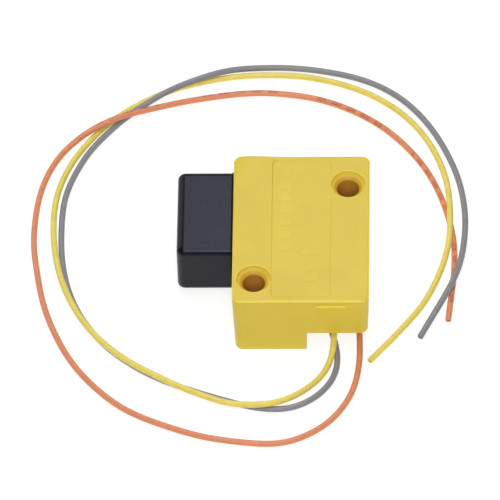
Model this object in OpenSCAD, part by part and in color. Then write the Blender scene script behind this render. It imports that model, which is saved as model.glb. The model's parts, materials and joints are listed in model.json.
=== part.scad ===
// Block-shaped photoelectric sensor with three flying leads.
// Frame: +Z is the normal of the large front face, the mounting face lies at z = 0,
// the optical cap points along -X and the leads leave towards -Y.

/* [Housing] */
// Width of the housing, along X
body_w = 34; // [33:0.5:36]
// Length of the housing, along Y
body_l = 47; // [46.6:0.1:50]
// Thickness of the housing, along Z
body_t = 18.7; // [18.4:0.1:20]
// How far the left and right sides lean in at the mounting face
draft = 0.6; // [0:0.1:0.7]
// Wall thickness
wall = 1.8; // [1.6:0.1:2]
// Radius of the vertical edges
corner_r = 2; // [1.2:0.1:2.5]
// Rounding of the edges round the large face
edge_r = 0.5; // [0.4:0.1:1]

/* [Mounting holes] */
// Distance of each hole from the middle, along X
hole_x = 11.6; // [11.5:0.1:12]
// Half the distance between the holes, along Y
hole_y = 15.25; // [15:0.05:15.6]
// How far the pair of holes sits off the middle of the housing, along Y
hole_shift = -0.85; // [-1:0.05:0]
// Radius of the through hole, clearance for an M5 screw
hole_r = 2.75; // [2.2:0.05:2.8]
// Radius of the countersunk mouth at the large face
mouth_r = 4.25; // [3.9:0.05:4.4]

/* [Lead notch] */
// Left end of the notch, along X
notch_x = 1.4; // [0:0.2:3]
// Depth of the notch from the front side, along Y
notch_depth = 7.5; // [7:0.1:8]
// Height of the notch above the mounting face
notch_h = 6.2; // [6:0.1:6.5]

/* [Optical cap] */
// How far the cap reaches beyond the housing
cap_reach = 14; // [13:0.1:16]
// Width of the cap, along Y
cap_w = 26.4; // [25:0.1:26.6]
// Height of the cap, along Z
cap_h = 15.4; // [15:0.1:15.6]
// Middle of the cap, along Y
cap_y = 7.1; // [6.5:0.1:7.2]
// Wall thickness of the cap
cap_wall = 1.6; // [1.4:0.1:1.8]
// Rounding of the cap's edges
cap_r = 1.9; // [1:0.1:2.2]

/* [Leads] */
// Outer diameter of a lead
lead_d = 1.55; // [1.2:0.05:1.6]

/* [Hidden] */
$fn = 64;
eps = 0.01;
HULL_FN = 32;

// Housing
half_w = body_w / 2;
half_l = body_l / 2;
cover_t = 1.6;
fit_gap = 0.1;
cavity_x = half_w - wall;
cavity_y = half_l - wall;
cavity_top = body_t - wall;
HOLES = [[-hole_x, hole_shift - hole_y], [hole_x, hole_shift + hole_y]];
pillar_r = hole_r + 1.85;
ledge_r = [3.4, 4];
ledge_depth = 1.1;
funnel_depth = 1.9;
panel_x = 7.3;
panel_y = 22;
panel_depth = 0.15;
mark_h = 0.08;
dash_x = [-5.3, -2.6];
dash_pitch = 4;
dash_l = 2.2;
arrow_at = [1.4, -7.5];
target_at = [2.2, -15];
target_r = [1.6, 2.1];
gate_x = [3.8, 11];
gate_z = [16.5, 17.1];
gate_h = 0.3;
tongue_h = 3;
tongue_t = 1;

// Notch: its back wall carries the grommet
notch_y = -half_l + notch_depth;
notch_wall = 1.5;
slot_x = [5.2, 15.2];
slot_top = 5.8;

// Boards
board_z = notch_h + notch_wall;
board_t = 1.6;
board_top = board_z + board_t;
POSTS = [[0, 19.6], [12.6, -1], [-11.4, -8.2]];
post_r = 1.4;

// Cap and optics
cap_z = 9.35;
cap_x0 = -half_w - cap_reach;
seal_t = 0.4;
seal_inset = 0.4;
cap_x1 = -half_w - seal_t;
neck_x = -half_w + 3.4;
neck_inset = 1.2;
neck_w = cap_w - 2 * neck_inset;
neck_h = cap_h - 2 * neck_inset;
neck_wall = 1.3;
CHANNELS = [cap_y - 6.2, cap_y + 6.2];
holder_x = [cap_x0 + cap_wall + 0.2, -20.4];
holder_w = neck_w - 2 * neck_wall - 0.2;
holder_h = neck_h - 2 * neck_wall - 0.2;
lens_r = 3.5;
lens_bulge = 1.2;
lens_rim = 1.2;
barrel_r = 3;
head_x = [-19.6, -18.4];
leg_pitch = 2.54;
PINS = [for (i = [-1.5 : 1.5]) cap_y + i * leg_pitch];
header_x = -11.5;
header_z = board_top + 1.25;

// Leads: where each passes the grommet (x, z) and where its tail rises (y)
lead_r = lead_d / 2;
core_r = 0.4;
exit_y = notch_y - 0.4;
grommet_back = notch_y + notch_wall + 1;
tail_bend = 1.6;
TAIL_ORANGE = [14.2, 3.2, -11];
TAIL_YELLOW = [8.3, 4.2, -11];
TAIL_GRAY = [6.8, 2.5, -8.4];
TAILS = [TAIL_ORANGE, TAIL_YELLOW, TAIL_GRAY];

// Routes of the free leads, from the grommet to the cut end
ROUTE_ORANGE = [
    [14.2, -16.4, 3.2], [14.4, -19, 3.1], [14.5, -23, 2.5], [14.5, -28.5, 1.7],
    [13.5, -35, 1], [12, -39.5, 0.8], [8.5, -45.5, 0.8], [3, -50.5, 0.8],
    [-5.5, -54, 0.8], [-18.5, -53, 0.8], [-29.5, -50, 0.8], [-43, -43.5, 0.8],
    [-52.5, -34.5, 0.8], [-59, -24.5, 0.8], [-64, -11.5, 0.8], [-66.5, 1.5, 0.8],
    [-67.5, 13, 0.8], [-66, 27.5, 0.8], [-61.5, 38.5, 1.2], [-54.5, 45.5, 2.3],
    [-47, 49.5, 3.2], [-39.5, 52.5, 2.7], [-28.5, 56.5, 1.6], [-14, 59.5, 0.8],
    [-1, 58.5, 0.8], [9.5, 55, 0.8], [20, 48, 0.8], [28.5, 38, 0.8],
    [34, 27, 0.8], [37.5, 13.5, 0.8], [38, 1.5, 0.8], [36.5, -15, 0.8]];
ROUTE_YELLOW = [
    [8.3, -16.4, 4.2], [8.2, -19, 4], [8, -25, 2.8], [7, -29, 1.5],
    [5, -33, 1], [0.5, -38, 1.4], [-4.5, -41.5, 2.1], [-9, -43, 2.6],
    [-17, -42.5, 2.1], [-23, -40.5, 2.3], [-31.5, -36.5, 2.5], [-44, -28.5, 2.7],
    [-53, -18.5, 2.4], [-59, -6.5, 2.4], [-62, 6.5, 2.1], [-62.5, 20.5, 1.7],
    [-60.5, 31, 1.2], [-56, 41, 0.8], [-48, 51, 0.8], [-36, 59.5, 0.8],
    [-23, 64, 0.8], [-11.5, 65.5, 0.8], [1.5, 64.5, 1], [14.5, 60, 1],
    [24.5, 52.5, 1.2], [31.5, 42.5, 1.6], [36, 29.5, 2.1], [37, 14.5, 2.5],
    [35.5, 3.5, 1.7], [31, -8.5, 1], [24.5, -18.5, 1], [17, -28, 0.8]];
ROUTE_GRAY = [
    [6.8, -16.4, 2.5], [7.3, -19, 2], [8.5, -23, 1.5], [9, -28.5, 0.9],
    [8, -33, 0.8], [5, -38, 0.8], [-1.5, -42.5, 0.8], [-9, -43, 0.8],
    [-17, -41, 0.8], [-30, -36, 0.8], [-40, -30.5, 0.8], [-49.5, -22, 0.8],
    [-56.5, -10.5, 0.8], [-60, 3, 1], [-60.5, 18.5, 1.2], [-59, 28.5, 1],
    [-54.5, 39.5, 0.8], [-49, 47, 1], [-44.5, 51.5, 1.5], [-34.5, 59, 2.4],
    [-22, 65, 2.4], [-12, 67.5, 1.3], [0.5, 67.5, 0.8], [14, 64, 1],
    [24, 58, 0.8], [32, 48, 0.8], [38, 34.5, 0.8], [40.5, 22, 1.3],
    [40.5, 9.5, 2.2], [38, -3, 2.7], [29.5, -20.5, 0.9]];
rest_z = 0.8;
ring_gap = 5;
tube_sides = 8;

// ---- shared shapes ----

// Box given by its lowest and highest corners
module block(low, high) {
    translate(low) cube(high - low);
}

// Flat rectangle with round corners, from its low corner to its high corner
module round_rect(low, high, r) {
    translate([low[0] + r, low[1]]) square([high[0] - low[0] - 2 * r, high[1] - low[1]]);
    translate([low[0], low[1] + r]) square([high[0] - low[0], high[1] - low[1] - 2 * r]);
    for (x = [low[0] + r, high[0] - r], y = [low[1] + r, high[1] - r])
        translate([x, y]) circle(r);
}

// Cylinder that runs along +X or +Y from a point
module rod_x(at, r, length) {
    translate(at) rotate([0, 90, 0]) cylinder(r = r, h = length);
}
module rod_y(at, r, length) {
    translate(at) rotate([-90, 0, 0]) cylinder(r = r, h = length);
}

// ---- housing ----

// Outside of the housing: left and right sides that lean, round corners, a rounded large face
module housing_outside() {
    hull($fn = HULL_FN) {
        for (x = [-1, 1], y = [-1, 1]) {
            translate([x * (half_w - draft - corner_r), y * (half_l - corner_r), 0])
                cylinder(r = corner_r, h = eps, $fn = HULL_FN);
            translate([x * (half_w - corner_r), y * (half_l - corner_r), body_t - edge_r])
                rotate_extrude($fn = HULL_FN)
                    translate([corner_r - edge_r, 0])
                        circle(edge_r, $fn = HULL_FN);
        }
    }
}

// Where the left side of the housing is at height z
function side_x(z) = -half_w + draft * (1 - z / (body_t - edge_r)) - eps;

// Space inside the housing, open at the mounting face
module housing_cavity() {
    difference() {
        block([-cavity_x, -cavity_y, -1], [cavity_x, cavity_y, cavity_top]);
        for (h = HOLES)
            translate([h[0], h[1], -2]) cylinder(r = pillar_r, h = body_t + 2);
        for (p = POSTS)
            translate([p[0], p[1], board_top]) cylinder(r = post_r, h = body_t);
        block([notch_x - notch_wall, -half_l, -2], [half_w, notch_y + notch_wall, board_z]);
    }
}

// Screw hole: a bore that opens through a sloped seat and a ledge at the large face
module screw_hole() {
    rotate_extrude()
        polygon([[0, -1], [hole_r, -1], [hole_r, body_t - funnel_depth],
                 [ledge_r[0], body_t - ledge_depth - 0.05], [ledge_r[1], body_t - ledge_depth],
                 [mouth_r, body_t], [mouth_r, body_t + 1], [0, body_t + 1]]);
}

// Raised guide marks in the recessed panel: dashes, an arrow towards the cap and a ring
module panel_marks() {
    translate([0, 0, body_t - panel_depth - eps])
        linear_extrude(mark_h + eps) {
            for (i = [-2 : 4])
                translate([dash_x[0], i * dash_pitch + 1]) square([dash_x[1] - dash_x[0], dash_l]);
            translate(arrow_at)
                polygon([[-1.6, 0], [0.4, -2.2], [0.4, -0.7], [3.2, -0.7],
                         [3.2, 0.7], [0.4, 0.7], [0.4, 2.2]]);
            translate(target_at)
                difference() {
                    circle(target_r[1]);
                    circle(target_r[0]);
                }
        }
}

module housing() {
    color([0.87, 0.78, 0.38]) {
        difference() {
            housing_outside();
            housing_cavity();
            for (h = HOLES)
                translate([h[0], h[1], 0]) screw_hole();
            block([notch_x, -half_l - 1, -1], [half_w + 1, notch_y, notch_h]);
            // Slot for the grommet, open towards the back cover
            block([slot_x[0], notch_y - 1, -1], [slot_x[1], notch_y + notch_wall + 1, slot_top]);
            // Window for the neck of the optical cap
            block([-half_w - 1, cap_y - neck_w / 2 - fit_gap, cap_z - neck_h / 2 - fit_gap],
                  [-cavity_x + 1, cap_y + neck_w / 2 + fit_gap, cap_z + neck_h / 2 + fit_gap]);
            translate([0, 0, body_t - panel_depth])
                linear_extrude(1)
                    round_rect([-panel_x, -panel_y], [panel_x, panel_y], 1);
        }
        panel_marks();
        // Gate mark on the front side
        block([gate_x[0], -half_l - gate_h, gate_z[0]], [gate_x[1], -half_l + 0.5, gate_z[1]]);
    }
}

// Snap-in cover, cut round the pillars, the notch and the grommet slot
module back_cover() {
    color([0.84, 0.74, 0.34]) {
        difference() {
            block([-cavity_x + fit_gap, -cavity_y + fit_gap, 0],
                  [cavity_x - fit_gap, cavity_y - fit_gap, cover_t]);
            for (h = HOLES)
                translate([h[0], h[1], -1]) cylinder(r = pillar_r + fit_gap, h = cover_t + 2);
            block([notch_x - notch_wall - fit_gap, -half_l, -1],
                  [half_w, notch_y + notch_wall + fit_gap, cover_t + 1]);
        }
        for (p = POSTS)
            translate([p[0], p[1], cover_t - eps]) cylinder(r = post_r, h = board_z - cover_t + eps);
        // Latch tongues: two on the right side, one on the left below the cap
        for (y = [-5, 5])
            translate([cavity_x - fit_gap - tongue_t, y, cover_t - eps]) cube([tongue_t, 4, tongue_h]);
        translate([-cavity_x + fit_gap, -9, cover_t - eps]) cube([tongue_t, 2, tongue_h]);
    }
}

// ---- optical head ----

// Outside of the cap, rounded all over except where it meets the housing
module cap_outside() {
    y = cap_w / 2 - cap_r;
    z = cap_h / 2 - cap_r;
    hull($fn = HULL_FN)
        for (dy = [-y, y], dz = [-z, z]) {
            translate([cap_x0 + cap_r, cap_y + dy, cap_z + dz])
                sphere(cap_r, $fn = HULL_FN);
            translate([cap_x1 - eps, cap_y + dy, cap_z + dz])
                rotate([0, 90, 0]) cylinder(r = cap_r, h = eps, $fn = HULL_FN);
        }
}

module optical_cap() {
    color([0.19, 0.19, 0.21]) {
        difference() {
            union() {
                cap_outside();
                block([cap_x1 - 1, cap_y - neck_w / 2, cap_z - neck_h / 2],
                      [neck_x, cap_y + neck_w / 2, cap_z + neck_h / 2]);
                // Latch wedges that click behind the housing wall
                for (s = [-1, 1])
                    translate([0, cap_y - 5, cap_z + s * neck_h / 2])
                        rotate([-90, 0, 0])
                            linear_extrude(10)
                                polygon([[-cavity_x + 0.1, -0.5], [neck_x, 0], [-cavity_x + 0.1, 0.5]]);
            }
            block([cap_x0 + cap_wall, cap_y - cap_w / 2 + cap_wall, cap_z - cap_h / 2 + cap_wall],
                  [cap_x1 - cap_wall, cap_y + cap_w / 2 - cap_wall, cap_z + cap_h / 2 - cap_wall]);
            block([cap_x1 - cap_wall - 1, cap_y - neck_w / 2 + neck_wall, cap_z - neck_h / 2 + neck_wall],
                  [neck_x + 1, cap_y + neck_w / 2 - neck_wall, cap_z + neck_h / 2 - neck_wall]);
        }
    }
}

// Foam gasket between the cap's shoulder and the leaning side of the housing
module cap_seal() {
    y = cap_w / 2 - seal_inset;
    low = cap_z - cap_h / 2 + seal_inset;
    high = cap_z + cap_h / 2 - seal_inset;
    color([0.1, 0.1, 0.1])
        difference() {
            translate([0, cap_y + y, 0])
                rotate([90, 0, 0])
                    linear_extrude(2 * y)
                        polygon([[cap_x1, low], [side_x(low), low], [side_x(high), high], [cap_x1, high]]);
            block([cap_x1 - 1, cap_y - neck_w / 2 - fit_gap, cap_z - neck_h / 2 - fit_gap],
                  [-half_w + 1, cap_y + neck_w / 2 + fit_gap, cap_z + neck_h / 2 + fit_gap]);
        }
}

// Black insert with one light channel for the emitter and one for the receiver
module optics_holder() {
    color([0.12, 0.12, 0.13])
        difference() {
            block([holder_x[0], cap_y - holder_w / 2, cap_z - holder_h / 2],
                  [holder_x[1], cap_y + holder_w / 2, cap_z + holder_h / 2]);
            for (y = CHANNELS) {
                rod_x([holder_x[0] - 1, y, cap_z], lens_r + 0.05, lens_bulge + lens_rim + 1);
                rod_x([holder_x[0], y, cap_z], barrel_r, 20);
            }
        }
}

// Plano-convex lens, its bulge facing out through the cap
module lens(y) {
    ball_r = (lens_r * lens_r + lens_bulge * lens_bulge) / (2 * lens_bulge);
    intersection() {
        translate([holder_x[0] + ball_r, y, cap_z]) sphere(ball_r);
        rod_x([holder_x[0] - 1, y, cap_z], lens_r, lens_bulge + lens_rim + 1);
    }
}

module emitter_lens() {
    color([0.75, 0.78, 0.8]) lens(CHANNELS[0]);
}

module receiver_lens() {
    color([0.75, 0.78, 0.8]) lens(CHANNELS[1]);
}

// Round 3 mm opto package that looks along -X, with two straight legs
module opto_package(y) {
    base_x = head_x[0] - 0.4;
    rod_x([base_x - 3.8, y, cap_z], 1.5, 3.8);
    translate([base_x - 3.8, y, cap_z]) sphere(1.5);
    rod_x([base_x - 0.9, y, cap_z], 1.9, 0.9);
    for (z = [-leg_pitch / 2, leg_pitch / 2])
        rod_x([base_x - 0.5, y, cap_z + z], 0.25, 3);
}

module emitter_led() {
    color([0.7, 0.75, 0.85]) opto_package(CHANNELS[0]);
}

module receiver_phototransistor() {
    color([0.1, 0.09, 0.12]) opto_package(CHANNELS[1]);
}

// Small upright board behind the optics
module head_board() {
    color([0.13, 0.42, 0.24])
        difference() {
            block([head_x[0], cap_y - holder_w / 2, cap_z - holder_h / 2],
                  [head_x[1], cap_y + holder_w / 2, cap_z + holder_h / 2]);
            for (y = CHANNELS, z = [-leg_pitch / 2, leg_pitch / 2])
                rod_x([head_x[0] - 1, y, cap_z + z], 0.4, 4);
            for (y = PINS)
                rod_x([head_x[0] - 1, y, header_z], 0.5, 4);
        }
}

// Right-angle pin strip that joins the two boards
module board_header() {
    color([0.15, 0.15, 0.15])
        block([header_x + 0.6, PINS[0] - 1.27, board_top], [header_x + 3.1, PINS[3] + 1.27, header_z + 1.25]);
    color([0.8, 0.7, 0.4])
        for (y = PINS) {
            block([head_x[0] - 0.5, y - 0.3, header_z - 0.3], [header_x + 0.7, y + 0.3, header_z + 0.3]);
            block([header_x - 0.3, y - 0.3, board_z - 0.9], [header_x + 0.3, y + 0.3, header_z]);
        }
}

// ---- main board ----

module main_board() {
    color([0.13, 0.42, 0.24])
        difference() {
            block([neck_x + 0.4, -cavity_y + 0.3, board_z], [cavity_x - 0.3, cavity_y - 0.3, board_top]);
            for (h = HOLES)
                translate([h[0], h[1], 0]) cylinder(r = pillar_r + 0.3, h = body_t);
            for (t = TAILS)
                translate([t[0], t[2], 0]) cylinder(r = core_r + 0.1, h = body_t);
            for (y = PINS)
                translate([header_x, y, 0]) cylinder(r = 0.5, h = body_t);
        }
}

// Rectangular chip on the main board with legs along its two long sides
module leaded_chip(at, size, legs, pitch) {
    translate([at[0], at[1], board_top]) {
        block([-size[0] / 2, -size[1] / 2, 0.15], [size[0] / 2, size[1] / 2, size[2]]);
        for (i = [0 : legs - 1], s = [-1, 1])
            translate([(i - (legs - 1) / 2) * pitch - 0.2, 0, 0]) {
                y0 = s * (size[1] / 2 + 0.5);
                block([0, min(y0, y0 + s * 0.5), 0], [0.4, max(y0, y0 + s * 0.5), 0.2]);
                block([0, min(s * size[1] / 2 - s * 0.2, y0), 0], [0.4, max(s * size[1] / 2 - s * 0.2, y0), 0.7]);
            }
    }
}

module comparator_ic() {
    color([0.12, 0.12, 0.12]) leaded_chip([-3, 7], [4.9, 3.9, 1.6], 4, 1.27);
}

module output_transistor() {
    color([0.12, 0.12, 0.12]) leaded_chip([2.5, -7], [4.5, 2.5, 1.5], 3, 1.5);
}

module protection_diode() {
    color([0.14, 0.14, 0.14]) {
        translate([11.6, -6, board_top]) {
            block([-1.3, -2.2, 0.1], [1.3, 2.2, 2.1]);
            for (s = [-1, 1])
                block([-0.7, min(s * 2, s * 2.6), 0], [0.7, max(s * 2, s * 2.6), 0.9]);
        }
    }
}

// Upright aluminium can on its square base
module electrolytic_capacitor() {
    translate([3.6, 14, board_top]) {
        color([0.12, 0.12, 0.12]) block([-2.6, -2.6, 0], [2.6, 2.6, 0.8]);
        color([0.78, 0.78, 0.8]) cylinder(r = 2.5, h = 5.4);
    }
}

// Row of equal chip parts, `step` apart
module chip_row(at, step, count, size) {
    for (i = [0 : count - 1])
        translate([at[0] + i * step[0], at[1] + i * step[1], board_top])
            block([-size[0] / 2, -size[1] / 2, 0], [size[0] / 2, size[1] / 2, size[2]]);
}

module chip_resistors() {
    color([0.1, 0.1, 0.12]) {
        chip_row([-7.5, -1], [2.4, 0], 4, [1.25, 2, 0.5]);
        chip_row([4, 8.5], [2.4, 0], 3, [1.25, 2, 0.5]);
    }
}

module chip_capacitors() {
    color([0.72, 0.6, 0.45]) {
        chip_row([-8, 13.5], [2.6, 0], 3, [1.25, 2, 1]);
        chip_row([3.5, 2.5], [2.6, 0], 3, [1.25, 2, 1]);
    }
}

// Cone of solder with a hole for the leg it holds
module solder_cone(bore) {
    rotate_extrude()
        polygon([[bore, 0], [bore + 0.6, 0], [bore + 0.15, 0.75], [bore, 0.75]]);
}

module solder_joints() {
    color([0.75, 0.75, 0.76]) {
        for (t = TAILS)
            translate([t[0], t[2], board_top]) solder_cone(core_r);
        for (y = CHANNELS, z = [-leg_pitch / 2, leg_pitch / 2])
            translate([head_x[1], y, cap_z + z]) rotate([0, 90, 0]) solder_cone(0.25);
        for (y = PINS)
            translate([header_x, y, board_z]) rotate([180, 0, 0]) solder_cone(0.45);
    }
}

// ---- lead entry ----

// Rubber block with a hole for each lead, flanged on both faces of the notch wall
module wire_grommet() {
    color([0.15, 0.15, 0.15])
        difference() {
            union() {
                block([slot_x[0] + fit_gap, exit_y, 0.3],
                      [slot_x[1] - fit_gap, notch_y + notch_wall, slot_top - fit_gap]);
                block([slot_x[0] - 0.8, notch_y + notch_wall, cover_t + fit_gap],
                      [slot_x[1] - fit_gap, grommet_back, notch_h]);
            }
            for (t = TAILS)
                rod_y([t[0], exit_y - 1, t[1]], lead_r + eps, 10);
        }
}

// Tail of a lead: through the grommet, a bend, then up to the main board
module tail(t) {
    up_y = t[2];
    rod_y([t[0], exit_y, t[1]], lead_r, up_y - tail_bend - exit_y);
    translate([t[0], up_y - tail_bend, t[1] + tail_bend])
        rotate([0, 90, 0])
            rotate_extrude(angle = 90)
                translate([tail_bend, 0]) circle(lead_r);
    translate([t[0], up_y, t[1] + tail_bend])
        cylinder(r = lead_r, h = board_z - 0.3 - t[1] - tail_bend);
}

module tail_orange() {
    color([0.85, 0.45, 0.3]) tail(TAIL_ORANGE);
}

module tail_yellow() {
    color([0.88, 0.78, 0.3]) tail(TAIL_YELLOW);
}

module tail_gray() {
    color([0.5, 0.5, 0.52]) tail(TAIL_GRAY);
}

// Bare tinned ends that pass through the main board
module conductors() {
    color([0.75, 0.6, 0.45])
        for (t = TAILS)
            translate([t[0], t[2], board_z - 0.3]) cylinder(r = core_r, h = board_t + 1.3);
}

// Bead of sealant round the tails, just behind the grommet
module entry_sealant() {
    color([0.85, 0.85, 0.78])
        difference() {
            block([slot_x[0], grommet_back, cover_t + fit_gap], [slot_x[1] - fit_gap, grommet_back + 0.7, notch_h]);
            for (t = TAILS)
                rod_y([t[0], exit_y, t[1]], lead_r + eps, 10);
        }
}

// ---- free leads ----

// Point between b and c at t, on a smooth curve that also heeds a and d
function spline(a, b, c, d, t) =
    0.5 * (2 * b + (c - a) * t + (2 * a - 5 * b + 4 * c - d) * t * t
           + (3 * b - a - 3 * c + d) * t * t * t);

// The same point, held up by the surface that the lead lies on
function held_up(p) = [p[0], p[1], max(p[2], rest_z)];

// Smooth path through the route's points, with a ring about every ring_gap
function path(p) =
    let (n = len(p), q = concat([2 * p[0] - p[1]], p, [2 * p[n - 1] - p[n - 2]]))
    concat([for (i = [1 : n - 1])
                let (steps = ceil(norm(q[i + 1] - q[i]) / ring_gap))
                for (k = [0 : steps - 1])
                    held_up(spline(q[i - 1], q[i], q[i + 1], q[i + 2], k / steps))],
           [p[n - 1]]);

// Direction of a path at its point i
function heading(c, i) =
    let (d = c[min(i + 1, len(c) - 1)] - c[max(i - 1, 0)]) d / norm(d);

// Ring of points round path point i, square to its heading
function ring(c, i) =
    let (t = i == 0 ? [0, -1, 0] : heading(c, i),
         side = cross(t, [0, 0, 1]) / norm(cross(t, [0, 0, 1])),
         up = cross(side, t))
    [for (k = [0 : tube_sides - 1])
        let (a = (k + 0.5) * 360 / tube_sides)
        c[i] + lead_r * (cos(a) * side + sin(a) * up)];

module tube(route) {
    c = path(route);
    last = len(c) - 1;
    sides = tube_sides;
    points = [for (i = [0 : last]) each ring(c, i)];
    skin = [for (i = [0 : last - 1], k = [0 : sides - 1])
                let (a = i * sides + k, b = i * sides + (k + 1) % sides)
                each [[a, b, b + sides], [a, b + sides, a + sides]]];
    ends = [[for (k = [sides - 1 : -1 : 0]) k], [for (k = [0 : sides - 1]) last * sides + k]];
    polyhedron(points, concat(skin, ends));
}

module wire_orange() {
    color([0.85, 0.45, 0.3]) tube(ROUTE_ORANGE);
}

module wire_yellow() {
    color([0.88, 0.78, 0.3]) tube(ROUTE_YELLOW);
}

module wire_gray() {
    color([0.5, 0.5, 0.52]) tube(ROUTE_GRAY);
}

housing();
back_cover();
optical_cap();
cap_seal();
optics_holder();
emitter_lens();
receiver_lens();
emitter_led();
receiver_phototransistor();
head_board();
board_header();
main_board();
comparator_ic();
output_transistor();
protection_diode();
electrolytic_capacitor();
chip_resistors();
chip_capacitors();
solder_joints();
wire_grommet();
entry_sealant();
tail_orange();
tail_yellow();
tail_gray();
conductors();
wire_orange();
wire_yellow();
wire_gray();
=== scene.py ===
import json
import math

import bmesh
import bpy
import numpy as np
from mathutils import Matrix, Vector


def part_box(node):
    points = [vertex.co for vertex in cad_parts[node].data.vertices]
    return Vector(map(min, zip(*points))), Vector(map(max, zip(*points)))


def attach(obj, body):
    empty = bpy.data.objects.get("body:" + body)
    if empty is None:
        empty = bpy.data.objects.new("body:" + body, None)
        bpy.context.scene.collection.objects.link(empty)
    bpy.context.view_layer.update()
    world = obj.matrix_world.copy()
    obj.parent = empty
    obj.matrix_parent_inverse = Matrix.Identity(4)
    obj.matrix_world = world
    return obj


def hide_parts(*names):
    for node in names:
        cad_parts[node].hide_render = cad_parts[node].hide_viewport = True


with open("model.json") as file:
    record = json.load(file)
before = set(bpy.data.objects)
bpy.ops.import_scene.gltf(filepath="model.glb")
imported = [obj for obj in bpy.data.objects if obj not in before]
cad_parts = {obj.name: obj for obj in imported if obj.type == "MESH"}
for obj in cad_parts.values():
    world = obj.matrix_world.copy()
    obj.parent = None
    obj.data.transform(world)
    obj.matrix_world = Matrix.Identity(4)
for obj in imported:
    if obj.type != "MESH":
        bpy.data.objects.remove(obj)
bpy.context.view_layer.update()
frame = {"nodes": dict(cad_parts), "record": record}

MM = 0.001
nodes = frame["nodes"]

# Lengths below are in millimetres, in the frame of the CAD model. The boxes come from the frame.


def box_mm(node):
    low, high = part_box(node)
    return np.array(low) / MM, np.array(high) / MM


# ---- camera ----

ELEVATION, AZIMUTH, ROLL = 50.403, 2.149, -1.806  # degrees
DISTANCE = 2251.7
LENS, SENSOR = 648, 36
AIM = (-13.05, 4.85, 4.41)  # the point that the middle of the view passes through


def make_camera():
    e, a = math.radians(ELEVATION), math.radians(AZIMUTH)
    back = Vector((math.sin(a) * math.cos(e), -math.cos(a) * math.cos(e), math.sin(e)))
    right = Vector((math.cos(a), math.sin(a), 0))
    right = Matrix.Rotation(math.radians(ROLL), 3, back) @ right
    place = Matrix((right, back.cross(right), back)).transposed().to_4x4()
    place.translation = (Vector(AIM) + back * DISTANCE) * MM
    data = bpy.data.cameras.new("camera")
    data.lens, data.sensor_width = LENS, SENSOR
    data.clip_start, data.clip_end = 0.05, 20
    camera = bpy.data.objects.new("camera", data)
    camera.matrix_world = place
    bpy.context.scene.collection.objects.link(camera)
    bpy.context.scene.camera = camera


make_camera()


# ---- materials ----

def new_material(name):
    """A material with one Principled shader: the material's tree and the shader."""
    mat = bpy.data.materials.new(name)
    mat.use_nodes = True
    tree = mat.node_tree
    tree.nodes.clear()
    shader = tree.nodes.new("ShaderNodeBsdfPrincipled")
    out = tree.nodes.new("ShaderNodeOutputMaterial")
    tree.links.new(shader.outputs["BSDF"], out.inputs["Surface"])
    return mat, tree, shader


def node(tree, kind, inputs=None, **settings):
    """Adds a node. An input is a number, a colour or another node's output."""
    made = tree.nodes.new("ShaderNode" + kind)
    for key, value in settings.items():
        setattr(made, key, value)
    for key, value in (inputs or {}).items():
        if isinstance(value, bpy.types.NodeSocket):
            tree.links.new(value, made.inputs[key])
        else:
            made.inputs[key].default_value = value
    return made


def linear(rgb):
    """A colour as the eye names it, from 0 to 1, turned into light."""
    return [c / 12.92 if c <= 0.04045 else ((c + 0.055) / 1.055) ** 2.4 for c in rgb]


def scaled(rgb, by):
    return [min(1.0, c * by) for c in rgb] + [1.0]


def place(tree):
    return node(tree, "TexCoord").outputs["Object"]


def noise(tree, size_mm, detail=3.0):
    """Noise whose blotches are about size_mm across."""
    made = node(tree, "TexNoise", {"Vector": place(tree), "Scale": 1 / (size_mm * MM),
                                   "Detail": detail})
    return made.outputs["Fac"]


def maths(tree, operation, *values):
    """The result of a sum whose values are numbers or other nodes' outputs."""
    return node(tree, "Math", dict(enumerate(values)), operation=operation).outputs[0]


def span(tree, value, from_low, from_high, to_low, to_high):
    made = node(tree, "MapRange", {"Value": value, "From Min": from_low, "From Max": from_high,
                                   "To Min": to_low, "To Max": to_high})
    return made.outputs["Result"]


def clouds(tree, size_mm, detail, low=0.0, high=1.0):
    """Noise stretched so that it fills the range from low to high."""
    return span(tree, noise(tree, size_mm, detail), 0.3, 0.7, low, high)


def feed(tree, shader, **sockets):
    """Links outputs to the shader's inputs. An input's spaces are written as underscores."""
    for name, socket in sockets.items():
        tree.links.new(socket, shader.inputs[name.replace("_", " ")])


def mixed(tree, factor, a, b):
    """Colour a where factor is 0 and b where it is 1."""
    made = node(tree, "Mix", data_type="RGBA")
    for socket, value in ((made.inputs[0], factor), (made.inputs[6], a), (made.inputs[7], b)):
        if isinstance(value, bpy.types.NodeSocket):
            tree.links.new(value, socket)
        else:
            socket.default_value = value
    return made.outputs[2]


def bump(tree, shader, *layers):
    """Stacks bumps on the shader, each (height socket, depth in mm, strength)."""
    normal = None
    for height, depth_mm, strength in layers:
        inputs = {"Height": height, "Distance": depth_mm * MM, "Strength": strength}
        if normal is not None:
            inputs["Normal"] = normal
        normal = node(tree, "Bump", inputs).outputs["Normal"]
    feed(tree, shader, Normal=normal)


WORN_FROM, WORN_FULL = 0.51, 0.58  # Pointiness at which an edge begins to wear, and is worn


def worn_edges(tree, colour, rgb, amount):
    """Colour, a little lighter along the convex edges, in broken patches."""
    sharpness = node(tree, "NewGeometry").outputs["Pointiness"]
    edge = span(tree, sharpness, WORN_FROM, WORN_FULL, 0.0, amount)
    patches = span(tree, noise(tree, 1.5), 0.35, 0.65, 0.2, 1.0)
    return mixed(tree, maths(tree, "MULTIPLY", edge, patches), colour, scaled(rgb, 1.25))


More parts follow.
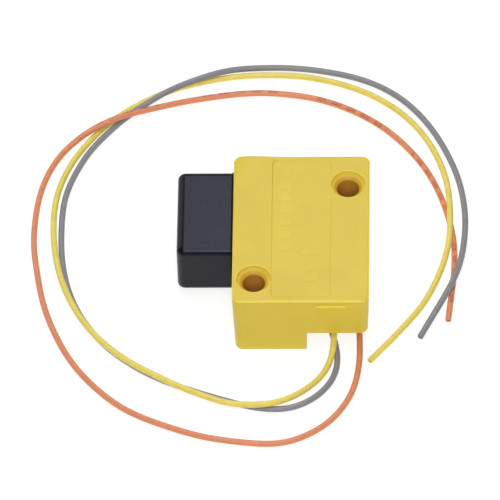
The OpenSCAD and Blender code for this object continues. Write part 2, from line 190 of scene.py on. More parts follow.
def plastic(name, srgb, rough, grain_mm=0.16, grain_depth=0.01, blotch_mm=9, vary=0.03,
            wear=0.25, specular=0.5, sheen_tint=(1, 1, 1), hole_shade_srgb=None):
    """Moulded plastic: faint colour clouds, a spark-eroded grain, light scuffs and worn edges.

    With a hole colour given, the mesh attribute "deep" turns the colour to it, as painted shade
    inside the holes, and the attribute "rim" lightens the colour as a painted highlight.
    """
    mat, tree, shader = new_material(name)
    rgb = linear(srgb)
    colour = mixed(tree, clouds(tree, blotch_mm, 5), scaled(rgb, 1 - vary), scaled(rgb, 1 + vary))
    colour = worn_edges(tree, colour, rgb, wear)
    if hole_shade_srgb:
        rim = node(tree, "Attribute", attribute_name="rim").outputs["Fac"]
        deep = node(tree, "Attribute", attribute_name="deep").outputs["Fac"]
        # Painted highlight: the lighter colour that "rim" mixes in along lit edges and walls.
        painted_highlight = [min(1.0, c * 1.3 + 0.06) for c in rgb] + [1.0]
        colour = mixed(tree, rim, colour, painted_highlight)
        # Painted shade: "deep" turns the colour to the darker hole colour.
        colour = mixed(tree, deep, colour, [*linear(hole_shade_srgb), 1.0])
    scuffs = span(tree, noise(tree, 0.9, 6), 0.35, 0.7, rough * 0.92, rough * 1.12)
    feed(tree, shader, Base_Color=colour, Roughness=scuffs)
    grain, waves = (noise(tree, grain_mm, 2), grain_depth, 0.35), (noise(tree, 6, 2), 0.04, 0.2)
    bump(tree, shader, grain, waves)
    shader.inputs["Specular IOR Level"].default_value = specular
    shader.inputs["Specular Tint"].default_value = (*sheen_tint, 1)
    return mat


PRINT_DASH, DASH_PITCH = 0.0026, 0.0042  # metres along the lead
PRINT_GROUP, GROUP_PITCH = 0.021, 0.031  # the dashes come in groups, with gaps between these
PRINT_FROM = 0.19                        # the first part of the lead has no print
PRINT_HALF = 0.1                         # half the print's width, in turns round the lead
PRINT_SWAY, SWAY_RATE = (0.16, 0.34), 40.0  # turns it sways between, and radians per metre


def repeats(tree, along, length, pitch):
    """1 on the first length of every pitch along the lead."""
    return maths(tree, "LESS_THAN", maths(tree, "MODULO", along, pitch), length)


def worn_print(tree, along, around):
    """1 where ink is left of a row of plain dashes that sways a little round the lead."""
    sway = maths(tree, "SINE", maths(tree, "MULTIPLY", along, SWAY_RATE))
    middle = span(tree, sway, -1, 1, *PRINT_SWAY)
    ink = maths(tree, "COMPARE", around, middle, PRINT_HALF)
    for limit in (repeats(tree, along, PRINT_DASH, DASH_PITCH),
                  repeats(tree, along, PRINT_GROUP, GROUP_PITCH),
                  maths(tree, "GREATER_THAN", along, PRINT_FROM),
                  span(tree, noise(tree, 0.5), 0.35, 0.6, 0.2, 0.8)):
        ink = maths(tree, "MULTIPLY", ink, limit)
    return ink


def insulation(name, srgb, print_srgb=None):
    """Extruded PVC: fine lines along the lead, mottling, and with print_srgb a worn print."""
    mat, tree, shader = new_material(name)
    rgb = linear(srgb)
    along = node(tree, "Attribute", attribute_name="along").outputs["Fac"]
    around = node(tree, "Attribute", attribute_name="around").outputs["Fac"]
    colour = mixed(tree, clouds(tree, 2.2, 4), scaled(rgb, 0.94), scaled(rgb, 1.05))
    if print_srgb:
        ink = worn_print(tree, along, around)
        colour = mixed(tree, ink, colour, [*linear(print_srgb), 1.0])
    feed(tree, shader, Base_Color=colour, Roughness=clouds(tree, 0.7, 5, 0.34, 0.46))
    drawn = node(tree, "CombineXYZ", {"X": maths(tree, "MULTIPLY", around, 40.0),
                                      "Y": maths(tree, "MULTIPLY", along, 60.0)})
    streaks = node(tree, "TexNoise", {"Vector": drawn.outputs[0], "Scale": 1.0, "Detail": 2.0})
    lines, dents = (streaks.outputs["Fac"], 0.01, 0.35), (noise(tree, 3, 2), 0.06, 0.4)
    bump(tree, shader, lines, dents)
    return mat


def metal(name, srgb, rough, grain_mm=0.3):
    """Plated or drawn metal with fine scratches and patches of tarnish."""
    mat, tree, shader = new_material(name)
    rgb = linear(srgb)
    tarnish = span(tree, noise(tree, 1.8, 5), 0.4, 0.75, 0.0, 1.0)
    feed(tree, shader, Base_Color=mixed(tree, tarnish, scaled(rgb, 1.03), scaled(rgb, 0.8)),
         Roughness=clouds(tree, grain_mm, 5, rough - 0.06, rough + 0.1))
    shader.inputs["Metallic"].default_value = 1.0
    bump(tree, shader, (noise(tree, grain_mm / 2, 3), 0.006, 0.5))
    return mat


def clear_plastic(name, srgb, rough, transmission):
    """Clear moulded optics with faint flow marks."""
    mat, tree, shader = new_material(name)
    rgb = linear(srgb)
    flow = mixed(tree, clouds(tree, 4, 2), scaled(rgb, 0.96), scaled(rgb, 1.02))
    feed(tree, shader, Base_Color=flow, Roughness=clouds(tree, 1.2, 4, rough, rough + 0.05))
    shader.inputs["Transmission Weight"].default_value = transmission
    shader.inputs["IOR"].default_value = 1.49
    bump(tree, shader, (noise(tree, 2.5, 2), 0.01, 0.2))
    return mat


def circuit_board(name):
    """Green solder mask over a net of copper tracks that shows through as a relief."""
    mat, tree, shader = new_material(name)
    mask = linear((0.08, 0.36, 0.2))
    cells = node(tree, "TexVoronoi", {"Vector": place(tree), "Scale": 1 / (2.2 * MM),
                                      "Randomness": 0.55}, feature="DISTANCE_TO_EDGE")
    track = span(tree, cells.outputs["Distance"], 0.06, 0.1, 1.0, 0.0)
    feed(tree, shader, Base_Color=mixed(tree, track, scaled(mask, 0.85), scaled(mask, 1.5)),
         Roughness=clouds(tree, 1.0, 4, 0.22, 0.36))
    bump(tree, shader, (track, 0.035, 0.7), (noise(tree, 0.3, 3), 0.006, 0.4))
    return mat


def foam(name, srgb):
    """Fine closed-cell foam."""
    mat, tree, shader = new_material(name)
    rgb = linear(srgb)
    cells = node(tree, "TexVoronoi", {"Vector": place(tree), "Scale": 1 / (0.25 * MM)})
    pores = cells.outputs["Distance"]
    feed(tree, shader, Base_Color=mixed(tree, pores, scaled(rgb, 0.7), scaled(rgb, 1.6)),
         Roughness=clouds(tree, 1.0, 3, 0.8, 0.95))
    bump(tree, shader, (pores, 0.08, 0.8))
    return mat


YELLOW = (0.885, 0.775, 0.23)
# Painted shade: the darker orange-brown that stands in for the shade deep inside the screw holes.
HOLE_SHADE = (0.82, 0.61, 0.25)
ORANGE_PVC = (0.9, 0.56, 0.39)
YELLOW_PVC = (0.94, 0.865, 0.4)
GRAY_PVC = (0.55, 0.55, 0.57)
PRINT_RED = (0.7, 0.36, 0.28)

MATERIALS = {
    "yellow_abs": plastic("yellow_abs", YELLOW, 0.3, grain_depth=0.004, wear=0.15, specular=0.3,
                          hole_shade_srgb=HOLE_SHADE),
    "yellow_cover": plastic("yellow_cover", (0.85, 0.75, 0.35), 0.5),
    "dark_window": plastic("dark_window", (0.05, 0.05, 0.08), 0.3, grain_mm=0.12,
                           grain_depth=0.0005, vary=0.08, wear=0.3, specular=0.28,
                           sheen_tint=(0.78, 0.78, 1.0)),
    "black_foam": foam("black_foam", (0.06, 0.06, 0.06)),
    "black_plastic": plastic("black_plastic", (0.1, 0.1, 0.1), 0.55, vary=0.08),
    "clear_lens": clear_plastic("clear_lens", (0.93, 0.95, 0.97), 0.03, 0.95),
    "led_epoxy": clear_plastic("led_epoxy", (0.8, 0.86, 0.96), 0.06, 0.85),
    "dark_epoxy": plastic("dark_epoxy", (0.09, 0.07, 0.11), 0.15, vary=0.1, wear=0.1),
    "board_green": circuit_board("board_green"),
    "pin_brass": metal("pin_brass", (0.85, 0.72, 0.42), 0.28),
    "chip_black": plastic("chip_black", (0.12, 0.12, 0.12), 0.6, grain_mm=0.08, vary=0.1,
                          wear=0.15),
    "can_aluminium": metal("can_aluminium", (0.82, 0.82, 0.84), 0.3),
    "resistor_black": plastic("resistor_black", (0.09, 0.09, 0.1), 0.3, grain_mm=0.06,
                              vary=0.15),
    "capacitor_tan": plastic("capacitor_tan", (0.72, 0.6, 0.46), 0.45, grain_mm=0.07,
                             vary=0.12),
    "solder": metal("solder", (0.78, 0.78, 0.79), 0.25, grain_mm=0.2),
    "black_rubber": plastic("black_rubber", (0.1, 0.1, 0.1), 0.72, grain_mm=0.1, vary=0.1,
                            wear=0.15),
    "sealant": plastic("sealant", (0.86, 0.86, 0.8), 0.5, grain_mm=0.6, grain_depth=0.03,
                       vary=0.06),
    "pvc_orange": insulation("pvc_orange", ORANGE_PVC, PRINT_RED),
    "pvc_yellow": insulation("pvc_yellow", YELLOW_PVC),
    "pvc_gray": insulation("pvc_gray", GRAY_PVC),
    "tinned_copper": metal("tinned_copper", (0.8, 0.6, 0.45), 0.35, grain_mm=0.15),
}


def finish_as(piece, slot):
    """Gives a new piece the material of one of the record's slots."""
    piece.data.materials.clear()
    piece.data.materials.append(MATERIALS[slot])


# ---- mesh building, in millimetres until a piece is done ----

def new_object(name, mesh):
    made = bpy.data.objects.new(name, mesh)
    bpy.context.scene.collection.objects.link(made)
    return made


def solid(name, verts, faces):
    mesh = bpy.data.meshes.new(name)
    mesh.from_pydata([tuple(v) for v in verts], [], faces)
    bm = bmesh.new()
    bm.from_mesh(mesh)
    bmesh.ops.recalc_face_normals(bm, faces=bm.faces)
    bm.to_mesh(mesh)
    bm.free()
    return new_object(name, mesh)


def loft(name, rings):
    """Closed solid through rings that all have the same number of points."""
    count = len(rings[0])
    verts = [p for ring in rings for p in ring]
    faces = [list(range(count))[::-1], [(len(rings) - 1) * count + k for k in range(count)]]
    for i in range(len(rings) - 1):
        for k in range(count):
            a, b = i * count + k, i * count + (k + 1) % count
            faces.append([a, b, b + count, a + count])
    return solid(name, verts, faces)


def rounded_rect(low, high, radius, steps=8):
    """Points round a rectangle with rounded corners, counterclockwise."""
    left, right = low[0] + radius, high[0] - radius
    near, far = low[1] + radius, high[1] - radius
    points = []
    for i, (x, y) in enumerate(((right, far), (left, far), (left, near), (right, near))):
        for k in range(steps + 1):
            a = math.radians(90 * i + 90 * k / steps)
            points.append((x + radius * math.cos(a), y + radius * math.sin(a)))
    return points


def block(low, high):
    ring = [(low[0], low[1]), (high[0], low[1]), (high[0], high[1]), (low[0], high[1])]
    return loft("block", [[(x, y, z) for x, y in ring] for z in (low[2], high[2])])


def turned(profile, at, steps=64):
    """Solid of revolution about Z through at, from (radius, z) points."""
    return loft("turned", [[(at[0] + r * math.cos(2 * math.pi * k / steps),
                             at[1] + r * math.sin(2 * math.pi * k / steps), z)
                            for k in range(steps)] for r, z in profile])


def rod(at, radius, low, high, steps=48):
    return turned([(radius, low), (radius, high)], at, steps)


def quarter_turn(steps):
    """Angles from 0 to 90 degrees, for a rounded edge."""
    return [math.radians(90 * k / steps) for k in range(steps + 1)]


def combine(target, tool, operation):
    """Cuts the tool from the target, or joins it, and removes the tool."""
    change = target.modifiers.new("combine", "BOOLEAN")
    change.object, change.operation, change.solver = tool, operation, "EXACT"
    bpy.context.view_layer.update()
    seen = target.evaluated_get(bpy.context.evaluated_depsgraph_get())
    mesh = bpy.data.meshes.new_from_object(seen)
    target.modifiers.clear()
    target.data = mesh
    bpy.data.objects.remove(tool, do_unlink=True)


def cut(target, *tools):
    for tool in tools:
        combine(target, tool, "DIFFERENCE")


def join(target, *tools):
    for tool in tools:
        combine(target, tool, "UNION")


SAME_POINT = 0.002              # vertices nearer than this are merged before bevelling
FLAT_DEG, SHARP_DEG = 0.5, 40   # an edge below the first goes, one above the second can bevel


def soften(target, wanted, width, steps=3):
    """Rounds the sharp outer edges that wanted(a, b) picks by their two ends."""
    bm = bmesh.new()
    bm.from_mesh(target.data)
    bmesh.ops.remove_doubles(bm, verts=bm.verts, dist=SAME_POINT)
    bmesh.ops.dissolve_limit(bm, angle_limit=math.radians(FLAT_DEG), verts=bm.verts,
                             edges=bm.edges)
    edges = [e for e in bm.edges if len(e.link_faces) == 2 and e.is_convex
             and e.calc_face_angle(0) > math.radians(SHARP_DEG)
             and wanted(e.verts[0].co, e.verts[1].co)]
    bmesh.ops.bevel(bm, geom=edges, offset=width, segments=steps, profile=0.5, affect="EDGES",
                    clamp_overlap=True)
    bm.to_mesh(target.data)
    bm.free()


def set_values(target, **values):
    """Stores a number for each vertex under each name, for the material to read."""
    for name, data in values.items():
        attribute = target.data.attributes.new(name, "FLOAT", "POINT")
        attribute.data.foreach_set("value", np.array(data, np.float32))


def done(target, slot, sharp_deg=35, flat_faces=True):
    """Scales a finished piece to metres, shades it, gives it its material and its body."""
    target.data.transform(Matrix.Scale(MM, 4))
    target.data.shade_smooth()
    target.data.set_sharp_from_angle(angle=math.radians(sharp_deg))
    if flat_faces:
        weight = target.modifiers.new("even_normals", "WEIGHTED_NORMAL")
        weight.keep_sharp = True
    finish_as(target, slot)
    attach(target, "root")


# ---- housing ----

HALF_W, HALF_L, TOP = box_mm("housing")[1]
SEAL_LOW, SEAL_HIGH = box_mm("cap_seal")
DRAFT = 0.6
WALL = 1.8
CORNER, EDGE, FOOT_EDGE = 2.0, 0.5, 0.1
LEAST_CORNER = 0.3
GRID = 1.5  # the long sides have points at most this far apart
BORES = [m for m in frame["record"]["mounts"] if m["kind"] == "bore"]
HOLES = [(m["pos_m"][0] / MM, m["pos_m"][1] / MM) for m in BORES]
HOLE_R = BORES[0]["dims"]["r_mm"]
MOUTH_R, MOUTH_ROUND, MOUTH_LEAN = 4.25, 0.28, 0.08
LEDGE_R, LEDGE_DEPTH, FUNNEL_DEPTH = (3.4, 4.0), 1.1, 1.9
PILLAR_R = HOLE_R + 1.85
PANEL_X, PANEL_Y, PANEL_DEPTH, PANEL_R = 7.3, 22.0, 0.15, 1.2
PANEL_FLOOR = TOP - PANEL_DEPTH
MARK_H = 0.08
DASHES = [((-5.3, i * 4 + 1), (-2.6, i * 4 + 3.2)) for i in range(-2, 5)]
ARROW = [(-0.2, -7.5), (1.8, -9.7), (1.8, -8.2), (4.6, -8.2), (4.6, -6.8), (1.8, -6.8),
         (1.8, -5.3)]
TARGET_AT, TARGET_R = (2.2, -15), (1.6, 2.1)
GATE_X, GATE_Z, GATE_H = (3.8, 11.0), (16.5, 17.1), 0.3
NOTCH_X, NOTCH_Y, NOTCH_H, NOTCH_WALL = 1.4, -16.0, 6.2, 1.5
SLOT_LEFT, SLOT_TOP = 5.2, 5.8
CAP_PORT = 0.7  # the opening for the cap lies this far inside the seal's outline
BOARD_TOP = box_mm("main_board")[1][2]
POSTS = [(0, 19.6), (12.6, -1), (-11.4, -8.2)]
POST_R = 1.4
SWELL, SWELL_X, SWELL_REACH = 0.35, -12.0, 7.5  # height, middle and half width of the swell
SWELL_FROM, SWELL_RUN = 9, 14                   # it rises along Y from here, over this length
SWELL_FADE = (0.5, 3.0)                         # and fades out between these depths


def swell(x, y, z):
    """How far the far left of the large face bulges up, as the real moulding does."""
    across = max(0.0, 1 - abs(x - SWELL_X) / SWELL_REACH)
    along = min(1.0, max(0.0, (y - SWELL_FROM) / SWELL_RUN))
    down = min(1.0, max(0.0, (z - TOP + SWELL_FADE[1]) / (SWELL_FADE[1] - SWELL_FADE[0])))
    return SWELL * across ** 2 * (3 - 2 * across) * along ** 2 * (3 - 2 * along) * down


def outline(z, inset):
    """Outline of the housing at height z, drawn in by inset."""
    half = (HALF_W - DRAFT * max(0, 1 - z / (TOP - EDGE)) - inset, HALF_L - inset)
    steps = 10
    corners = rounded_rect((-half[0], -half[1]), half, max(CORNER - inset, LEAST_CORNER), steps)
    ring = []
    for i, (a, b) in enumerate(zip(corners, corners[1:] + corners[:1])):
        ring.append(a)
        corner, at = divmod(i, steps + 1)
        if at == steps:
            parts = math.ceil(2 * (HALF_L if corner % 2 else HALF_W) / GRID)
            ring += [(a[0] + (b[0] - a[0]) * k / parts, a[1] + (b[1] - a[1]) * k / parts)
                     for k in range(1, parts)]
    return [(x, y, z + swell(x, y, z)) for x, y in ring]


def housing_outside():
    """The moulding's outside. The rings near and on the large face let the swell bend it."""
    rings = [outline(0, FOOT_EDGE), outline(FOOT_EDGE * 0.3, FOOT_EDGE * 0.3),
             outline(FOOT_EDGE, 0), outline(TOP - 3, 0), outline(TOP - 2, 0)]
    for a in quarter_turn(10):
        rings.append(outline(TOP - EDGE + EDGE * math.sin(a), EDGE * (1 - math.cos(a))))
    rings += [outline(TOP, inset) for inset in (1.8, 3, 4.5, 6.5, 9, 12, 14.5)]
    return loft("housing_shell", rings)


def housing_cavity():
    x, y = HALF_W - WALL, HALF_L - WALL
    cavity = block((-x, -y, -1), (x, y, TOP - WALL))
    cut(cavity, *[rod(h, PILLAR_R, -2, TOP + 1) for h in HOLES])
    cut(cavity, *[rod(p, POST_R, BOARD_TOP, TOP + 1, 32) for p in POSTS])
    cut(cavity, block((NOTCH_X - NOTCH_WALL, -HALF_L - 1, -2),
                      (HALF_W, NOTCH_Y + NOTCH_WALL, NOTCH_H + NOTCH_WALL)))
    return cavity


def screw_hole(at):
    """Bore, sloped seat, a narrow ledge and a mouth with a softly rounded rim."""
    seat, ledge, wall = TOP - FUNNEL_DEPTH, TOP - LEDGE_DEPTH, MOUTH_R - MOUTH_LEAN
    profile = [(HOLE_R, -1), (HOLE_R, seat - 0.1), (HOLE_R + 0.08, seat + 0.05),
               (LEDGE_R[0] - 0.06, ledge - 0.12), (LEDGE_R[0] + 0.06, ledge - 0.04),
               (LEDGE_R[1] - 0.05, ledge), (LEDGE_R[1] + 0.03, ledge + 0.1)]
    for a in quarter_turn(6):
        profile.append((wall + MOUTH_ROUND * (1 - math.cos(a)),
                        TOP - MOUTH_ROUND * (1 - math.sin(a))))
    profile.append((wall + MOUTH_ROUND, TOP + 1))
    return turned(profile, at, 72)


def recess():
    """Tool for the shallow panel: a fillet at its floor and a rounded rim."""
    steps = [(PANEL_DEPTH, 0.16), (PANEL_DEPTH * 0.8, 0.05), (PANEL_DEPTH * 0.5, 0.0),
             (PANEL_DEPTH * 0.2, -0.04), (0.0, -0.14), (-1.0, -0.14)]
    rings = []
    for depth, inset in steps:
        x, y = PANEL_X - inset, PANEL_Y - inset
        ring = rounded_rect((-x, -y), (x, y), PANEL_R - inset)
        rings.append([(x, y, TOP - depth) for x, y in ring])
    return loft("recess", rings)


def raised(points):
    """Low relief on the panel's floor, its sides sloping in."""
    points = np.array(points)
    inward = points.mean(axis=0) - points
    inward /= np.maximum(np.hypot(*inward.T), 0.3)[:, None]
    rings = []
    for height, shrink in ((-0.3, 0), (MARK_H * 0.6, 0.02), (MARK_H, 0.12)):
        rings.append([(x, y, PANEL_FLOOR + height) for x, y in points + inward * shrink])
    return loft("raised", rings)


def panel_marks():
    """A column of dashes, an arrow towards the cap, and a plain ring."""
    marks = [raised([low, (high[0], low[1]), high, (low[0], high[1])]) for low, high in DASHES]
    marks.append(raised(ARROW))
    ring = turned([(TARGET_R[1], PANEL_FLOOR - 0.3), (TARGET_R[1], PANEL_FLOOR + MARK_H * 0.6),
                   (TARGET_R[1] - 0.1, PANEL_FLOOR + MARK_H)], TARGET_AT, 40)
    cut(ring, rod(TARGET_AT, TARGET_R[0], 0, TOP + 1, 40))
    return marks + [ring]


SEAT_DEEP = 0.5                   # how strongly a hole's sloped seat takes the painted shade's colour
HIGHLIGHT_STRONG, HIGHLIGHT_FAINT = 0.8, 0.1  # painted highlight on the mouths' walls and the gate, and on the marks
MARK_ZONE = (6.3, 18.9)           # half sizes of the zone whose relief gets the faint painted highlight
NEAR = 0.01                       # play when vertices are told apart by where they are


def mark_zones(target):
    """Sets "deep" (painted shade) in the bores and on their seats, and "rim" wherever a highlight
    is painted.
    """
    deep, rim = [], []
    for v in target.data.vertices:
        x, y, z = v.co
        off = min(math.hypot(x - h[0], y - h[1]) for h in HOLES)
        in_bore, in_seat = off < HOLE_R + 2 * NEAR, off < LEDGE_R[0] + 10 * NEAR
        deep.append(1.0 if in_bore else SEAT_DEEP if in_seat else 0.0)
        in_mouth = LEDGE_R[1] - 2 * NEAR < off < MOUTH_R + MOUTH_ROUND and z < TOP
        on_gate = y < -HALF_L - 5 * NEAR
        in_zone = abs(x) < MARK_ZONE[0] and abs(y) < MARK_ZONE[1]
        on_mark = in_zone and 3 * NEAR < z - PANEL_FLOOR < MARK_H + NEAR
        # Painted highlight along the housing's rounded top edges, strongest halfway round.
        at_side = abs(x) > HALF_W - EDGE - NEAR or abs(y) > HALF_L - EDGE - NEAR
        round_edge = (TOP - z) / EDGE
        if in_mouth or on_gate:
            rim.append(HIGHLIGHT_STRONG)
        elif on_mark:
            rim.append(HIGHLIGHT_FAINT)
        else:
            rim.append(max(0.0, 4 * round_edge * (1 - round_edge)) if at_side else 0.0)
    set_values(target, deep=deep, rim=rim)


def make_housing():
    shell = housing_outside()
    cut(shell, housing_cavity())
    cut(shell, *[screw_hole(h) for h in HOLES])
    cut(shell, block((NOTCH_X, -HALF_L - 1, -1), (HALF_W + 1, NOTCH_Y, NOTCH_H)))
    cut(shell, block((SLOT_LEFT, NOTCH_Y - 1, -1),
                     (HALF_W - WALL, NOTCH_Y + NOTCH_WALL + 1, SLOT_TOP)))
    low, high = SEAL_LOW + CAP_PORT, SEAL_HIGH - CAP_PORT
    cut(shell, block((-HALF_W - 1, low[1], low[2]), (-HALF_W + WALL + 1, high[1], high[2])))
    cut(shell, recess())
    join(shell, *panel_marks())
    join(shell, block((GATE_X[0], -HALF_L - GATE_H, GATE_Z[0]),
                      (GATE_X[1], -HALF_L + 0.5, GATE_Z[1])))

    def outer_notch_edge(a, b):
        in_notch = min(a.x, b.x) > NOTCH_X - NEAR and max(a.z, b.z) < NOTCH_H + NEAR
        return in_notch and max(a.y, b.y) < NOTCH_Y + NEAR

    def gate_edge(a, b):
        return max(a.y, b.y) < -HALF_L - GATE_H + NEAR

    soften(shell, outer_notch_edge, 0.2)
    soften(shell, gate_edge, 0.1)
    mark_zones(shell)
    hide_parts("housing")
    done(shell, "yellow_abs")


make_housing()


# ---- optical cap ----

CAP_LOW, CAP_HIGH = box_mm("optical_cap")
CAP_R, LEAST_R = 1.9, 0.12
CAP_WALL, NECK_INSET, NECK_WALL = 1.6, 1.2, 1.3
LATCH_H, LATCH_HALF = 0.5, 5


def section(x, inset):
    """Rounded outline of the cap at x, drawn in by inset."""
    ring = rounded_rect(CAP_LOW[1:] + inset, CAP_HIGH[1:] - inset, max(CAP_R - inset, LEAST_R), 10)
    return [(x, y, z) for y, z in ring]


def make_cap():
    shoulder = SEAL_LOW[0]
    rings = [section(shoulder, 0.15), section(shoulder - 0.05, 0.05), section(shoulder - 0.15, 0)]
    for a in quarter_turn(12):
        rings.append(section(CAP_LOW[0] + CAP_R * (1 - math.sin(a)),
                             (CAP_R - LEAST_R) * (1 - math.cos(a))))
    cap = loft("cap_shell", rings)
    low, high = CAP_LOW[1:], CAP_HIGH[1:]
    join(cap, block((shoulder - 1, low[0] + NECK_INSET, low[1] + NECK_INSET),
                    (CAP_HIGH[0], high[0] - NECK_INSET, high[1] - NECK_INSET)))
    cut(cap, block((CAP_LOW[0] + CAP_WALL, low[0] + CAP_WALL, low[1] + CAP_WALL),
                   (shoulder - CAP_WALL, high[0] - CAP_WALL, high[1] - CAP_WALL)))
    middle, latch_x = (low[0] + high[0]) / 2, -HALF_W + WALL + 0.1
    for z, out in ((low[1] + NECK_INSET, -LATCH_H), (high[1] - NECK_INSET, LATCH_H)):
        wedge = [(latch_x, z - out), (CAP_HIGH[0], z), (latch_x, z + out)]
        join(cap, loft("latch", [[(x, y, h) for x, h in wedge]
                                 for y in (middle - LATCH_HALF, middle + LATCH_HALF)]))
    inner = NECK_INSET + NECK_WALL
    cut(cap, block((shoulder - CAP_WALL - 1, low[0] + inner, low[1] + inner),
                   (CAP_HIGH[0] + 1, high[0] - inner, high[1] - inner)))
    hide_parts("optical_cap")
    done(cap, "dark_window", sharp_deg=50)


make_cap()


# ---- free leads ----

LEAD_D = 1.55
LEAD_SIDES = 24
REST_Z = 0.8  # least height of a lead's middle line

# Points on each lead's middle line, from the notch wall to the cut end.
ROUTES = {
    "orange": [
        (14.2, -16.4, 3.2), (14.4, -19, 3.1), (14.5, -23, 2.5), (14.5, -28.5, 1.7),
        (13.5, -35, 1), (12, -39.5, 0.8), (8.5, -45.5, 0.8), (3, -50.5, 0.8),
        (-5.5, -54, 0.8), (-18.5, -53, 0.8), (-29.5, -50, 0.8), (-43, -43.5, 0.8),
        (-52.5, -34.5, 0.8), (-59, -24.5, 0.8), (-64, -11.5, 0.8), (-66.5, 1.5, 0.8),
        (-67.5, 13, 0.8), (-66, 27.5, 0.8), (-61.5, 38.5, 1.2), (-54.5, 45.5, 2.3),
        (-47, 49.5, 3.2), (-39.5, 52.5, 2.7), (-28.5, 56.5, 1.6), (-14, 59.5, 0.8),
        (-1, 58.5, 0.8), (9.5, 55, 0.8), (20, 48, 0.8), (28.5, 38, 0.8),
        (34, 27, 0.8), (37.5, 13.5, 0.8), (38, 1.5, 0.8), (36.5, -15, 0.8)],
    "yellow": [
        (8.3, -16.4, 4.2), (8.2, -19, 4), (8, -25, 2.8), (7, -29, 1.5),
        (5, -33, 1), (0.5, -38, 1.4), (-4.5, -41.5, 2.1), (-9, -43, 2.6),
        (-17, -42.5, 2.1), (-23, -40.5, 2.3), (-31.5, -36.5, 2.5), (-44, -28.5, 2.7),
        (-53, -18.5, 2.4), (-59, -6.5, 2.4), (-62, 6.5, 2.1), (-62.5, 20.5, 1.7),
        (-60.5, 31, 1.2), (-56, 41, 0.8), (-48, 51, 0.8), (-36, 59.5, 0.8),
        (-23, 64, 0.8), (-11.5, 65.5, 0.8), (1.5, 64.5, 1), (14.5, 60, 1),
        (24.5, 52.5, 1.2), (31.5, 42.5, 1.6), (36, 29.5, 2.1), (37, 14.5, 2.5),
        (35.5, 3.5, 1.7), (31, -8.5, 1), (24.5, -18.5, 1), (17, -28, 0.8)],
    "gray": [
        (6.8, -16.4, 2.5), (7.3, -19, 2), (8.5, -23, 1.5), (9, -28.5, 0.9),
        (8, -33, 0.8), (5, -38, 0.8), (-1.5, -42.5, 0.8), (-9, -43, 0.8),
        (-17, -41, 0.8), (-30, -36, 0.8), (-40, -30.5, 0.8), (-49.5, -22, 0.8),
        (-56.5, -10.5, 0.8), (-60, 3, 1), (-60.5, 18.5, 1.2), (-59, 28.5, 1),
        (-54.5, 39.5, 0.8), (-49, 47, 1), (-44.5, 51.5, 1.5), (-34.5, 59, 2.4),
        (-22, 65, 2.4), (-12, 67.5, 1.3), (0.5, 67.5, 0.8), (14, 64, 1),
        (24, 58, 0.8), (32, 48, 0.8), (38, 34.5, 0.8), (40.5, 22, 1.3),
        (40.5, 9.5, 2.2), (38, -3, 2.7), (29.5, -20.5, 0.9)],
}
PATH_GAP, SMOOTHING = 0.6, 60  # distance between a path's points, and passes that smooth it
CORE_R, CORE_DEPTH = 0.38, 0.35
STRAND_SIDES = 10
STRAND_FIT = 0.98  # the strands stay this much inside the room for them


def smoothed(points):
    points = points.copy()
    for _ in range(SMOOTHING):
        points[1:-1] += 0.5 * ((points[:-2] + points[2:]) / 2 - points[1:-1])
    return points


def smooth_path(route):
    """The route as a curve with points about PATH_GAP apart, held up by the table.

    What the smoothing took off the bends is added back, so they keep their size.
    """
    p = np.array(route, float)
    q = np.vstack([2 * p[0] - p[1], p, 2 * p[-1] - p[-2]])
    points = []
    for a, b, c, d in zip(q, q[1:], q[2:], q[3:]):
        steps = math.ceil(np.linalg.norm(c - b) / PATH_GAP)
        for t in np.arange(steps) / steps:
            points.append(0.5 * (2 * b + (c - a) * t + (2 * a - 5 * b + 4 * c - d) * t ** 2
                                 + (3 * b - a - 3 * c + d) * t ** 3))
    points = np.array(points + [p[-1]])
    soft = smoothed(points)
    points = soft + smoothed(points - soft)
    points[:, 2] = np.maximum(points[:, 2], REST_Z)
    return points


def rings_along(points, radius, sides):
    """A ring round each point of a path, and each ring's heading."""
    ahead = np.gradient(points, axis=0)
    ahead /= np.linalg.norm(ahead, axis=1)[:, None]
    ahead[0] = (0, -1, 0)
    side = np.cross(ahead, (0, 0, 1))
    side /= np.linalg.norm(side, axis=1)[:, None]
    up = np.cross(side, ahead)
    angles = 2 * np.pi * np.arange(sides) / sides
    return [[c + radius * (math.cos(a) * s + math.sin(a) * u) for a in angles]
            for c, s, u in zip(points, side, up)]


def make_lead(colour):
    """Insulation with a round cut end, hollow for the copper that sits just inside it."""
    path = smooth_path(ROUTES[colour])
    radius = LEAD_D / 2
    rings = rings_along(path, radius, LEAD_SIDES)
    end, last = path[-1], np.array(rings[-1])
    ahead = end - path[-2]
    ahead /= np.linalg.norm(ahead)
    end_rings = [(radius - 0.04, -0.03), (CORE_R + 0.06, -0.03), (CORE_R, 0.02),
                 (CORE_R, CORE_DEPTH)]
    rings += [end + (last - end) * r / radius - ahead * back for r, back in end_rings]
    lead = loft("lead_" + colour, rings)
    along = np.cumsum([0, *np.linalg.norm(np.diff(path, axis=0), axis=1)]) * MM
    length = float(along[-1])
    set_values(lead, along=np.repeat([*along, *[length] * len(end_rings)], LEAD_SIDES),
               around=np.tile(np.arange(LEAD_SIDES) / LEAD_SIDES, len(rings)))
    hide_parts("wire_" + colour)
    done(lead, "pvc_" + colour, sharp_deg=50, flat_faces=False)
    core = make_core(colour, end - ahead * (CORE_DEPTH + 0.02), ahead)


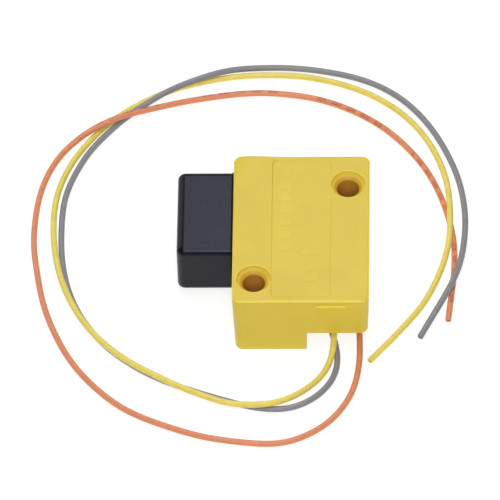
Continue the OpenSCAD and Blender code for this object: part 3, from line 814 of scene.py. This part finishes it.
def make_core(colour, at, ahead):
    """Seven copper strands, cut flush, just inside the end of the insulation."""
    strand_r = CORE_R / 3
    side = np.cross(ahead, (0, 0, 1))
    side /= np.linalg.norm(side)
    up = np.cross(side, ahead)
    spots = [(0, 0)] + [(2 * strand_r * math.cos(k * math.pi / 3),
                         2 * strand_r * math.sin(k * math.pi / 3)) for k in range(6)]
    turns = [2 * math.pi * k / STRAND_SIDES for k in range(STRAND_SIDES)]
    verts, faces = [], []
    for u, v in spots:
        middle = at + side * u * STRAND_FIT + up * v * STRAND_FIT
        start = len(verts)
        for back, grow in ((0.0, 1.0), (0.2, 1.0), (0.22, 0.85)):
            r = grow * strand_r * STRAND_FIT
            verts += [middle + ahead * back + r * (math.cos(a) * side + math.sin(a) * up)
                      for a in turns]
        for first in (start, start + STRAND_SIDES):
            for k in range(STRAND_SIDES):
                a, b = first + k, first + (k + 1) % STRAND_SIDES
                faces.append([a, b, b + STRAND_SIDES, a + STRAND_SIDES])
        faces.append([start + k for k in range(STRAND_SIDES)][::-1])
        faces.append([start + 2 * STRAND_SIDES + k for k in range(STRAND_SIDES)])
    core = solid("strands_" + colour, verts, faces)
    done(core, "tinned_copper", sharp_deg=40, flat_faces=False)
    return core


for colour in ROUTES:
    make_lead(colour)


# ---- CAD pieces that stay ----

SLOT_OF = {s["node"]: s["material_slot"] for s in frame["record"]["subparts"]}
BROKEN_EDGE = 0.08


def dress_cad_nodes():
    """Each CAD node that stays gets its material and lightly broken edges."""
    for name, thing in nodes.items():
        if thing.hide_render:
            continue
        thing.data.materials.clear()
        thing.data.materials.append(MATERIALS[SLOT_OF[name]])
        edge = thing.modifiers.new("edges", "BEVEL")
        edge.width, edge.segments = BROKEN_EDGE * MM, 2
        edge.limit_method, edge.angle_limit = "ANGLE", math.radians(50)
        edge.use_clamp_overlap = True


dress_cad_nodes()


# ---- floor and light ----

# In metres, and the lamps' power in watts: name, place, aimed at, size, power.
LAMPS = [
    ("strip", (0, -0.15, 0.9), (0, -0.15, 0), (0.3, 2.3), 8.5),
    ("left", (-0.68, 0.6, 0.42), (0, 0, 0), (0.7, 0.6), 1.3),
    ("front", (0, -0.8, 0.75), (0, 0, 0), (0.4, 0.3), 2.0),
]
FLOOR_HALF = 3


def make_floor():
    mesh = bpy.data.meshes.new("floor")
    half = FLOOR_HALF
    mesh.from_pydata([(-half, -half, 0), (half, -half, 0), (half, half, 0), (-half, half, 0)], [],
                     [[0, 1, 2, 3]])
    floor = new_object("floor", mesh)
    floor.location.z = -0.05 * MM  # clear of the part's underside
    mat, tree, shader = new_material("floor")
    shader.inputs["Base Color"].default_value = (0.3, 0.3, 0.3, 1)
    shader.inputs["Roughness"].default_value = 0.9
    shader.inputs["Specular IOR Level"].default_value = 0.1
    shader.inputs["Emission Color"].default_value = (1, 1, 1, 1)
    shader.inputs["Emission Strength"].default_value = 0.8
    mesh.materials.append(mat)


def softbox(name, at, towards, size, power):
    data = bpy.data.lights.new(name, "AREA")
    data.shape, (data.size, data.size_y), data.energy = "RECTANGLE", size, power
    lamp = bpy.data.objects.new(name, data)
    lamp.location = at
    lamp.rotation_euler = (Vector(towards) - Vector(at)).to_track_quat("-Z", "Y").to_euler()
    bpy.context.scene.collection.objects.link(lamp)


def make_light():
    world = bpy.data.worlds.new("studio")
    world.use_nodes = True
    sky = world.node_tree.nodes["Background"]
    sky.inputs["Color"].default_value = (1, 1, 1, 1)
    sky.inputs["Strength"].default_value = 0.18
    bpy.context.scene.world = world
    for lamp in LAMPS:
        softbox(*lamp)
    bpy.context.scene.view_settings.view_transform = "Standard"


make_floor()
make_light()
